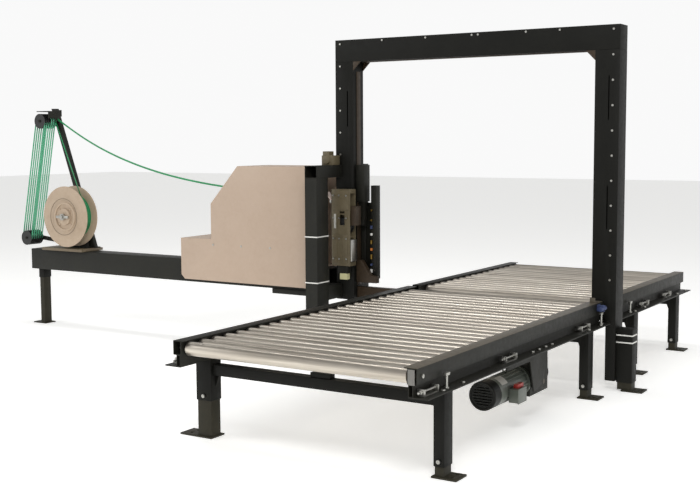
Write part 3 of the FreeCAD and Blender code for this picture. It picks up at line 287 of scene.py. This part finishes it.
def wound_strap():
    """The reel's coil: turns of strap lie side by side 13 mm apart across the reel."""
    material, tree, place, out = new_material("wound_green_strap")
    lanes_at = add(tree, "ShaderNodeMapping", None,
                   {"Vector": (place, "Object"), "Scale": (0.0, 1 / (13 * MM), 0.0)})
    lanes = add(tree, "ShaderNodeTexWave", {"bands_direction": "Y"},
                {"Vector": (lanes_at, 0), "Scale": 0.31, "Distortion": 0.4})
    # The colour bands are painted light: each turn is painted darker at its seams, as painted shade, and
    # lighter in its middle, as painted highlight.
    tone = add(tree, "ShaderNodeMix", {"data_type": "RGBA"},
               {"Factor": (lanes, "Fac"), 6: linear("0e5a34"), 7: linear("23a468")})
    bump = add(tree, "ShaderNodeBump", None,
               {"Height": (lanes, "Fac"), "Strength": 0.6, "Distance": 2.0 * MM})
    shader = add(tree, "ShaderNodeBsdfPrincipled", None,
                 {"Base Color": (tone, 2), "Roughness": 0.32, "Normal": (bump, 0), "IOR": 1.57})
    tree.links.new(shader.outputs[0], out.inputs[0])
    return material


green_strap = strap_plastic("embossed_green_strap", "1f9a5e", "12713f")
# The sunlit copy is the same strap green painted paler: painted light on strap that catches the light.
sunlit_strap_painted_light = strap_plastic("sunlit_green_strap", "62bd94", "44a377")
coil_green = wound_strap()
black_plastic = moulded("black_moulded_plastic", "1c1c1c", 0.45)
white_nylon = moulded("white_nylon", "e4e3de", 0.5)
blue_plastic = moulded("blue_sensor_plastic", "38446a", 0.55)
red_plastic = moulded("red_connector_plastic", "a8312b", 0.4)
orange_plastic = moulded("orange_fitting_plastic", "c9742a", 0.42)
pink_plate = moulded("pale_pink_flap", "ecd8ce", 0.4)
paper_label = moulded("blank_label", "bcbab2", 0.6)
pale_yellow = moulded("pale_yellow_valve", "cfcb9c", 0.45)
floor_grey = moulded("studio_floor", "fafaf8", 0.9, grain_mm=40.0)
FLOOR_GLOW = 0.42
floor_shader = next(n for n in floor_grey.node_tree.nodes if n.type == "BSDF_PRINCIPLED")
floor_shader.inputs["Emission Color"].default_value = (1.0, 1.0, 0.99, 1.0)
floor_shader.inputs["Emission Strength"].default_value = FLOOR_GLOW
print("plastic finishes made")

# %% [markdown]
# ## Finishes on the parts
# Every part of the frame gets its finish from one table, so that a finish can be changed in one
# place.  Parts not named in it are black steel.


# %% Give each part its finish
def dress(obj, material):
    obj.data.materials.clear()
    obj.data.materials.append(material)


FINISHES = {
    ground_roller_steel: ("infeed_roller_1", "infeed_roller_2", "drive_roller", "infeed_rollers",
                          "outfeed_rollers"),
    zinc_plate: ("roller_axles", "panel_screws", "feed_wheel_shaft", "reel_shaft", "reel_wing_nut",
                 "press_platen"),
    oiled_steel: ("drive_chains", "drive_sprocket"),
    arch_powder_coat: ("arch_left_column", "arch_right_column", "arch_top_beam", "leg_sleeves",
                       "cross_members"),
    cream_powder_coat: ("cabinet_shell", "cabinet_deck"),
    reel_board: ("reel_front_flange", "reel_back_flange"),
    tan_plate: ("reel_base_plate",),
    motor_enamel: ("motor_body",),
    cowl_enamel: ("motor_fan_cowl",),
    olive_enamel: ("feed_gear_motor", "strap_inlet"),
    brown_enamel: ("strap_track", "arch_corner_gussets"),
    pink_plate: ("head_cover",),
    black_plastic: ("motor_fan", "top_sheaves", "lower_sheaves", "feed_wheel"),
    white_nylon: ("tie_bands",),
    foot_enamel: ("adjustable_feet",),
    coil_green: ("strap_coil",),
}
finish_of = {name: material for material, names in FINISHES.items() for name in names}
for name, obj in nodes.items():
    dress(obj, finish_of.get(name, black_powder_coat))
body_of_node = {name: obj["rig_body"] for name, obj in nodes.items()}
print("finishes given to", len(nodes), "parts")

# %% [markdown]
# ## Softened edges
# Pressed and welded steel never has a knife edge: a bent corner has a radius, and a cut edge is
# broken with a file.  The frame's parts have sharp edges, so each box-like part is copied, its
# triangles are joined back into flat faces, and a small bevel is put on every sharp edge.  The
# bevel catches the light, which is what makes the part read as metal.


# %% Edge softening
def select_only(obj):
    bpy.ops.object.select_all(action="DESELECT")
    obj.select_set(True)
    bpy.context.view_layer.objects.active = obj


def copy_of(name, piece_name):
    """A loose copy of a part, its triangles joined into faces."""
    obj = bpy.data.objects.new(piece_name, nodes[name].data.copy())
    bpy.context.scene.collection.objects.link(obj)
    select_only(obj)
    bpy.ops.object.mode_set(mode="EDIT")
    bpy.ops.mesh.select_all(action="SELECT")
    bpy.ops.mesh.remove_doubles(threshold=0.00001)
    bpy.ops.mesh.dissolve_limited(angle_limit=math.radians(1.0))
    bpy.ops.object.mode_set(mode="OBJECT")
    return obj


def bevel(obj, width, segments=2, angle=50):
    select_only(obj)
    modifier = obj.modifiers.new("edge", "BEVEL")
    modifier.width = width
    modifier.segments = segments
    modifier.limit_method = "ANGLE"
    modifier.angle_limit = math.radians(angle)
    bpy.ops.object.modifier_apply(modifier=modifier.name)
    bpy.ops.object.shade_smooth_by_angle(angle=math.radians(35))
    return obj


SOFT_EDGES_MM = {
    "arch_left_column": 1.4, "arch_right_column": 1.4, "arch_top_beam": 1.4, "arch_corner_gussets": 1.0,
    "infeed_rail_left": 1.3, "infeed_rail_right": 1.3, "outfeed_rail_left": 1.3,
    "outfeed_rail_right": 1.3,
    "cross_members": 1.5, "leg_sleeves": 1.6, "adjustable_feet": 1.4, "head_frame": 1.6,
    "cabinet_shell": 0.9, "dispenser_beam": 2.0, "reel_base_plate": 1.5, "reel_stand": 1.2,
    "head_cover": 0.6, "strap_track": 0.8, "gear_reducer": 2.5,
    "motor_mount_plate": 1.2, "tower_arm": 1.2, "dancer_arm": 1.0, "dancer_pivot": 1.2,
    "strap_guard_bar": 1.0, "feed_gear_motor": 2.0, "reel_front_flange": 1.0, "reel_back_flange": 1.0,
    "press_platen": 1.5, "reel_wing_nut": 1.5,
}
soft = {}
for name, width in SOFT_EDGES_MM.items():
    piece = bevel(copy_of(name, name + "_soft"), width * MM)
    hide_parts(name)
    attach(piece, body_of_node[name])
    soft[name] = piece
print("softened", len(soft), "parts")

# %% [markdown]
# ## Groups with more than one finish
# Some parts of the frame hold several loose solids, such as a sensor and its bracket.  These are
# copied, parted at their loose pieces and finished one by one.  A rule looks at each piece's size and
# place to tell which it is, since the pieces have no names of their own.


# %% Part the mixed groups
def parted(name, choose, width_mm=0.6):
    """Parts a group into its loose solids; choose(low, high) gives each one's finish."""
    whole = copy_of(name, name + "_piece")
    select_only(whole)
    bpy.ops.object.mode_set(mode="EDIT")
    bpy.ops.mesh.select_all(action="SELECT")
    bpy.ops.mesh.separate(type="LOOSE")
    bpy.ops.object.mode_set(mode="OBJECT")
    made = [o for o in bpy.data.objects if o.name.startswith(name + "_piece")]
    finished = {}
    for obj in made:
        corners = [v.co for v in obj.data.vertices]
        low = Vector([min(c[i] for c in corners) for i in range(3)])
        high = Vector([max(c[i] for c in corners) for i in range(3)])
        finished.setdefault(choose(low, high), []).append(obj)
    pieces = []
    for material, objs in finished.items():
        select_only(objs[0])
        for o in objs:
            o.select_set(True)
        if len(objs) > 1:
            bpy.ops.object.join()
        obj = bevel(objs[0], width_mm * MM)
        obj.name = "%s_%s" % (name, material.name)
        dress(obj, material)
        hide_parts(name)
        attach(obj, body_of_node[name])
        pieces.append(obj)
    return pieces


def size(low, high):
    return high - low


def bolt_finish(low, high):
    """The pale plate that closes the chain box is the one wide, thin, upright solid."""
    s = size(low, high)
    return pale_plate if s.y < 5 * MM and s.z > 40 * MM else zinc_plate


def sensor_finish(low, high):
    """The sensor's barrel is the one piece over 65 mm long."""
    s = size(low, high)
    if s.y > 65 * MM:
        return blue_plastic
    return brown_cap if high.z > 0.51 else black_powder_coat


def wiring_finish(low, high):
    return red_plastic if size(low, high).z < 30 * MM else motor_enamel


def post_finish(low, high):
    """The post is black; its short air fittings are brass, white, blue or orange by their height."""
    if size(low, high).z > 40 * MM:
        return black_powder_coat
    return (brass, white_nylon, blue_plastic, brass, orange_plastic)[int(low.z / (47 * MM)) % 5]


def case_finish(low, high):
    return olive_enamel if size(low, high).z > 60 * MM else zinc_plate


def panel_finish(low, high):
    """The narrow upright bar is a pale wear strip; the door and the top panel are olive."""
    return paper_label if size(low, high).x < 20 * MM else olive_enamel


def cylinder_finish(low, high):
    """Cylinder in zinc, the valve's bracket in black and the valve below it pale yellow."""
    if high.z > 0.62:
        return zinc_plate
    return pale_yellow if low.z < 0.55 else black_powder_coat


def guide_finish(low, high):
    """The feed box beside the head and the shoe above the track are brown; the rest is black."""
    s = size(low, high)
    return brown_enamel if s.x < 45 * MM and s.z < 130 * MM or s.x > 130 * MM else black_powder_coat


for group_name, rule in (("frame_bolts", bolt_finish), ("photo_eye", sensor_finish),
                         ("terminal_box", wiring_finish), ("cable_post", post_finish),
                         ("sealing_head_case", case_finish), ("head_side_plate", panel_finish),
                         ("platen_cylinder", cylinder_finish), ("strap_guides", guide_finish)):
    print(group_name, [p.name for p in parted(group_name, rule)])

# %% [markdown]
# ## Small shapes
# The added details start as plain cubes, cylinders and rings.  Each is set in place in its mesh;
# cubes and cylinders are then bevelled, cut or thickened into the finished piece, and the ring is only
# shaded smooth.  The same few steps come back for every detail, so they are helpers here, and each
# cell below only says where its piece goes.


# %% Helpers for small shapes
ALONG_Y = (math.pi / 2, 0, 0)


def settle(name):
    """Names the new primitive and writes its place and turn into its mesh."""
    obj = bpy.context.object
    obj.name = name
    bpy.ops.object.transform_apply(location=True, rotation=True, scale=True)
    return obj


def block(name, low, high, material, body, edge_mm=1.0):
    """A bevelled plate between two corners."""
    bpy.ops.object.select_all(action="DESELECT")
    low, high = Vector(low), Vector(high)
    bpy.ops.mesh.primitive_cube_add(size=1.0, location=(low + high) / 2)
    bpy.context.object.scale = high - low
    obj = bevel(settle(name), edge_mm * MM)
    dress(obj, material)
    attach(obj, body)
    return obj


def cylinder(name, centre, radius, depth, vertices, ends="NGON"):
    """A cylinder along Y."""
    bpy.ops.object.select_all(action="DESELECT")
    bpy.ops.mesh.primitive_cylinder_add(vertices=vertices, radius=radius, depth=depth, location=centre,
                                        end_fill_type=ends, rotation=ALONG_Y)
    return settle(name)


def thicken(obj, thickness):
    """Gives an open shell its thickness and smooths its curved faces."""
    modifier = obj.modifiers.new("thickness", "SOLIDIFY")
    modifier.thickness = thickness
    bpy.ops.object.modifier_apply(modifier=modifier.name)
    bpy.ops.object.shade_smooth_by_angle(angle=math.radians(35))


def ring(name, centre, radius, thick, material, body):
    """A ring round the Y axis."""
    bpy.ops.object.select_all(action="DESELECT")
    bpy.ops.mesh.primitive_torus_add(major_segments=72, minor_segments=10, major_radius=radius,
                                     minor_radius=thick, location=centre, rotation=ALONG_Y)
    obj = settle(name)
    bpy.ops.object.shade_smooth()
    dress(obj, material)
    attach(obj, body)
    return obj


print("shape helpers ready")

# %% [markdown]
# ## Rail caps
# The chain side of each section is closed with a folded cap, painted brown-grey and rubbed dull.
# It could be folded from a strip in edit mode.  Only its top is ever seen, so it is a cube over the
# rail's top face and lip, and a bevel gives it the round edges of folded sheet.

# %% Rail caps
CAP_T = 2.0 * MM
CAP_END_GAP = 2.0 * MM
RAIL_BOX_W, RAIL_LIP, FLANGE_OUT = 45.0 * MM, 16.0 * MM, 50.0 * MM
for section in ("infeed", "outfeed"):
    low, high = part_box(section + "_rail_right")
    outer = high.x - FLANGE_OUT
    block(section + "_rail_cap",
          (outer - RAIL_BOX_W - RAIL_LIP, low.y + CAP_END_GAP, high.z),
          (outer, high.y - CAP_END_GAP, high.z + CAP_T), brown_cap, "machine")
print("rail caps at z", round(high.z, 3))

# %% [markdown]
# ## Motor label
# A motor carries a plate with its ratings, left blank here.  It lies curved on the motor's upper
# right side.  A flat plate could be bent round it, but a cylinder a little wider than the motor is
# round already, so the faces outside two angles are deleted and the rest is thickened.

# %% Motor label
LABEL_FROM, LABEL_TO = 34, 82       # degrees up from the right
LABEL_PROUD, LABEL_T, LABEL_LONG, LABEL_BEFORE_BODY = 1.2 * MM, 0.8 * MM, 64 * MM, 8 * MM
cowl_low, cowl_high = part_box("motor_fan_cowl")
centre_x = (cowl_low.x + cowl_high.x) / 2
centre_z = (cowl_low.z + cowl_high.z) / 2
cowl_r = (cowl_high.x - cowl_low.x) / 2
label = cylinder("motor_label", (centre_x, cowl_high.y - LABEL_BEFORE_BODY, centre_z),
                 cowl_r + LABEL_PROUD, LABEL_LONG, 72, "NOTHING")
bpy.ops.object.mode_set(mode="EDIT")
bpy.ops.mesh.select_all(action="DESELECT")
bpy.ops.object.mode_set(mode="OBJECT")
for face in label.data.polygons:
    angle = math.degrees(math.atan2(face.center.z - centre_z, face.center.x - centre_x))
    face.select = not LABEL_FROM < angle < LABEL_TO
bpy.ops.object.mode_set(mode="EDIT")
bpy.ops.mesh.delete(type="FACE")
bpy.ops.object.mode_set(mode="OBJECT")
thicken(label, LABEL_T)
dress(label, paper_label)
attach(label, "machine")
print("label faces:", len(label.data.polygons))

# %% [markdown]
# ## Motor cowl
# The fan cowl is a dark pressed cap.  Its rear half is painted with the motor.  A shader could
# change colour halfway, but a real paint line is sharp, so the copy is cut across with bisect and
# its rear faces take the motor's grey enamel.

# %% Cowl in two tones
cowl = copy_of("motor_fan_cowl", "motor_cowl_two_tone")
cowl_split = cowl_low.y + 0.5 * (cowl_high.y - cowl_low.y)
select_only(cowl)
bpy.ops.object.mode_set(mode="EDIT")
bpy.ops.mesh.select_all(action="SELECT")
bpy.ops.mesh.bisect(plane_co=(0, cowl_split, 0), plane_no=(0, 1, 0))
bpy.ops.object.mode_set(mode="OBJECT")
bevel(cowl, 1.0 * MM)
dress(cowl, cowl_enamel)
cowl.data.materials.append(motor_enamel)
for face in cowl.data.polygons:
    face.material_index = 1 if face.center.y > cowl_split else 0
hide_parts("motor_fan_cowl")
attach(cowl, body_of_node["motor_fan_cowl"])
print("cowl faces:", len(cowl.data.polygons))

# %% [markdown]
# ## Reel face, cabinet hem and head screws
# The reel's front board has a recess round its hub, and the edge of the recess shows as a dark arc of
# shadow.  A thin raised ring in the dark tan of the base plate stands for it, so its colour is painted
# shadow.
# The cabinet's open edge is hemmed with a thin pale strip, and hexagon screws hold the panels of the
# sealing head.
# A bump could draw all three, but they stand proud and catch the light, so they are real shapes.

# %% Ring, hem and screws
RING_SHARE = 0.60                   # of the board's radius
low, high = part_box("reel_front_flange")
# The ring's dark tan is painted shadow: it stands for the shadow at the edge of the hub's recess.
ring("reel_ring", ((low.x + high.x) / 2, low.y, (low.z + high.z) / 2),
     RING_SHARE * (high.x - low.x) / 2, 2.0 * MM, tan_plate, body_of_node["reel_front_flange"])

low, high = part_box("cabinet_shell")
block("cabinet_hem", (high.x - 6 * MM, low.y - 1 * MM, low.z + 30 * MM),
      (high.x + 1 * MM, low.y + 2 * MM, high.z), pale_yellow, "machine", 0.4)

SCREW_COLUMNS, SCREW_ROWS = (0.12, 0.45, 0.88), (0.06, 0.34, 0.62, 0.93)
low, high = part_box("head_side_plate")
for column in SCREW_COLUMNS:
    for row in SCREW_ROWS:
        centre = (low.x + column * (high.x - low.x), low.y - 1 * MM, low.z + row * (high.z - low.z))
        screw = bevel(cylinder("head_screw", centre, 6 * MM, 5 * MM, 6), 0.6 * MM)
        dress(screw, zinc_plate)
        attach(screw, "machine")
print("ring, hem and screws added")

# %% [markdown]
# ## The strap from the reel
# The strap leaves the coil on its right side and climbs beside the tower to the top stack, touching
# both circles as a belt does.  The two touching points come from that rule, so the strap stays
# right if either circle is moved.  It is a curve with a flat section, made a mesh.  In the back
# grooves of the stack, three turns of strap show green, each a short open tube with thickness.


# %% Strap from the reel and turns on the sheaves
def ribbon(name, points, width, body):
    """A flat strap along a row of points, made solid."""
    line = bpy.data.curves.new(name, "CURVE")
    line.dimensions = "3D"
    run = line.splines.new("POLY")
    run.points.add(len(points) - 1)
    for point, place in zip(run.points, points):
        point.co = (*place, 1.0)
    line.extrude = width / 2
    line.bevel_depth = 0.5 * MM
    line.bevel_resolution = 1
    line.twist_mode = "Z_UP"
    obj = bpy.data.objects.new(name, line)
    bpy.context.scene.collection.objects.link(obj)
    select_only(obj)
    bpy.ops.object.convert(target="MESH")
    dress(obj, green_strap)
    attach(obj, body)
    return obj


SHEAVES, GROOVE_DEEP, TURNS = 6, 8 * MM, 3
TURN_PROUD, TURN_W, TURN_T = 6 * MM, 15 * MM, 1.6 * MM
coil_low, coil_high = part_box("strap_coil")
top_low, top_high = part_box("top_sheaves")
coil_centre, top_hub = (coil_low + coil_high) / 2, (top_low + top_high) / 2
coil_r = (coil_high.x - coil_low.x) / 2 + 1 * MM
groove_r = (top_high.x - top_low.x) / 2 - GROOVE_DEEP
sheave_step = (top_high.y - top_low.y) / SHEAVES
climb = Vector((top_hub.x - coil_centre.x, 0, top_hub.z - coil_centre.z))
toward = climb.normalized()
lean = (coil_r - groove_r) / climb.length
normal = toward * lean + Vector((toward.z, 0, -toward.x)) * math.sqrt(1 - lean * lean)
leaves = coil_centre + normal * coil_r
arrives = top_hub + normal * groove_r
arrives.y = top_high.y - 0.5 * sheave_step
ribbon("reel_strap", [leaves.lerp(arrives, i / 12) for i in range(13)], 12 * MM, "machine")
for i in range(TURNS):
    centre = (top_hub.x, top_high.y - (i + 0.5) * sheave_step, top_hub.z)
    wrap = cylinder("strap_turn_%d" % (i + 1), centre, groove_r + TURN_PROUD, TURN_W, 64, "NOTHING")
    thicken(wrap, TURN_T)
    # The turns take the paler strap green, which is painted light.
    dress(wrap, sunlit_strap_painted_light)
    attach(wrap, body_of_node["top_sheaves"])
print("reel strap", round((arrives - leaves).length, 3), "m")

# %% [markdown]
# ## The strap between the sheave stacks
# The strap runs up and down between two stacks of sheaves.  The lower stack hangs on a swinging
# arm, so when the machine pulls strap the arm rises and the runs get shorter.  A rigid piece can't
# do that.  The runs here are a bevelled copy with a mesh of their own, and the way the lower stack's
# hub moves when the arm is fully raised is worked out, but the runs are not squashed.

# %% Strap runs
runs = bevel(copy_of("accumulator_strands", "strap_runs"), 0.3 * MM)
# The runs take the paler strap green, which is painted light.
dress(runs, sunlit_strap_painted_light)
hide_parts("accumulator_strands")
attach(runs, "machine")
low_low, low_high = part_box("lower_sheaves")
low_hub = (low_low + low_high) / 2
swing = next(j for j in frame["joints"] if j["name"] == "dancer_swing")
pivot = Vector(swing["pos_m"])
lift = Matrix.Rotation(math.radians(swing["range_deg"][1]), 3, "Y")
raised_hub = pivot + lift @ (low_hub - pivot)
path = low_hub - raised_hub
path.y = 0
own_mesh(runs)

# %% [markdown]
# ## The free strap
# From the guard at the top of the tower the strap hangs in a long shallow curve to the slot in the
# cabinet's slanted face.  Its control points are a smooth NURBS line, and a flat section 12 mm wide
# is drawn along it.  A curve is used and not a simulation, because the strap has to hang the same
# way each time.

# %% Free strap
COLUMN_OUT = 0.698                  # the arch's outer face from the conveyor's centre line
low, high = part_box("arch_right_column")
origin_x = high.x - COLUMN_OUT
origin_y = (low.y + high.y) / 2
STRAP_POINTS = [(-3.664, 1.560), (-3.545, 1.493), (-3.400, 1.418), (-3.244, 1.348), (-3.082, 1.287),
                (-2.918, 1.235), (-2.752, 1.191), (-2.584, 1.154), (-2.414, 1.124), (-2.244, 1.100),
                (-2.110, 1.085), (-1.981, 1.072)]
STRAP_WIDTH = 12.0 * MM
curve = bpy.data.curves.new("free_strap_line", "CURVE")
curve.dimensions = "3D"
spline = curve.splines.new("NURBS")
spline.points.add(len(STRAP_POINTS) - 1)
for point, (x, z) in zip(spline.points, STRAP_POINTS):
    point.co = (x + origin_x, origin_y, z, 1.0)
spline.order_u = 3
spline.use_endpoint_u = True
curve.resolution_u = 12
curve.extrude = STRAP_WIDTH / 2
curve.bevel_depth = 0.5 * MM
curve.bevel_resolution = 1
curve.twist_mode = "Z_UP"
strap = bpy.data.objects.new("free_strap_line", curve)
bpy.context.scene.collection.objects.link(strap)
dress(strap, green_strap)
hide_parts("free_strap")
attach(strap, "machine")
print("strap points:", len(STRAP_POINTS))

# %% [markdown]
# ## Studio, light and camera
# The machine stands on a plain pale floor that glows a little, like a studio's lit sweep.  The
# surroundings are bright at the horizon and dim overhead, so each roller mirrors a dark band between
# two light ones, as in a real hall.  A long light overhead and two softer ones at the sides shape
# the rest.  The camera stands at about eye height on the infeed side, turned to the left.

# %% Floor and lights
bpy.ops.object.select_all(action="DESELECT")
bpy.ops.mesh.primitive_plane_add(size=60.0, location=(0, 0, -0.0005))
floor = bpy.context.object
floor.name = "studio_floor"
dress(floor, floor_grey)
floor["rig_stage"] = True

world = bpy.data.worlds.new("studio")
bpy.context.scene.world = world
world.use_nodes = True
sky = world.node_tree
upward = add(sky, "ShaderNodeTexCoord")
parts = add(sky, "ShaderNodeSeparateXYZ", None, {0: (upward, "Generated")})
fade = add(sky, "ShaderNodeMapRange", {"interpolation_type": "SMOOTHSTEP"},
           {"Value": (parts, "Z"), "From Min": 0.10, "From Max": 0.55, "To Min": 0.95, "To Max": 0.30})
sky.links.new(fade.outputs[0], sky.nodes["Background"].inputs["Strength"])
sky.nodes["Background"].inputs["Color"].default_value = (1.0, 1.0, 1.0, 1.0)


def area_light(name, place, target, size_m, power):
    data = bpy.data.lights.new(name, "AREA")
    data.shape = "RECTANGLE"
    data.size, data.size_y = size_m
    data.energy = power
    light = bpy.data.objects.new(name, data)
    bpy.context.scene.collection.objects.link(light)
    light.location = place
    light.rotation_euler = (Vector(target) - Vector(place)).to_track_quat("-Z", "Y").to_euler()
    return light


area_light("key_light", (4.5, -5.5, 5.5), (0.5, -0.5, 0.6), (2.5, 1.0), 190)
area_light("left_light", (-5.0, -4.5, 4.0), (-1.8, 0.2, 0.9), (3.0, 3.0), 90)
area_light("top_light", (0.5, 0.5, 6.5), (0.5, 0.0, 0.0), (7.0, 1.2), 130)
print("lights placed")

# %% Camera
AZIMUTH, ELEVATION, ROLL = 32.2, 5.5, -0.3
CAMERA_PLACE = Vector((2.744 + origin_x, -6.057 + origin_y, 1.412))
FRAME_W, FOCAL, SENSOR = 700, 1128.0, 36.0      # the first two in the same small unit
azimuth, elevation, roll = (math.radians(v) for v in (AZIMUTH, ELEVATION, ROLL))
ahead = Vector((-math.sin(azimuth) * math.cos(elevation), math.cos(azimuth) * math.cos(elevation),
                -math.sin(elevation)))
right = Vector((math.cos(azimuth), math.sin(azimuth), 0))
up = right.cross(ahead)
right, up = (right * math.cos(roll) + up * math.sin(roll), up * math.cos(roll) - right * math.sin(roll))
camera_data = bpy.data.cameras.new("camera")
camera_data.sensor_width = SENSOR
camera_data.lens = SENSOR * FOCAL / FRAME_W
camera_data.clip_end = 200.0
camera = bpy.data.objects.new("camera", camera_data)
bpy.context.scene.collection.objects.link(camera)
turn = Matrix((right, up, -ahead)).transposed()
camera.matrix_world = Matrix.Translation(CAMERA_PLACE) @ turn.to_4x4()
bpy.context.scene.camera = camera
bpy.context.scene.view_settings.view_transform = "Standard"
print("camera at", [round(v, 2) for v in CAMERA_PLACE])

low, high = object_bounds()
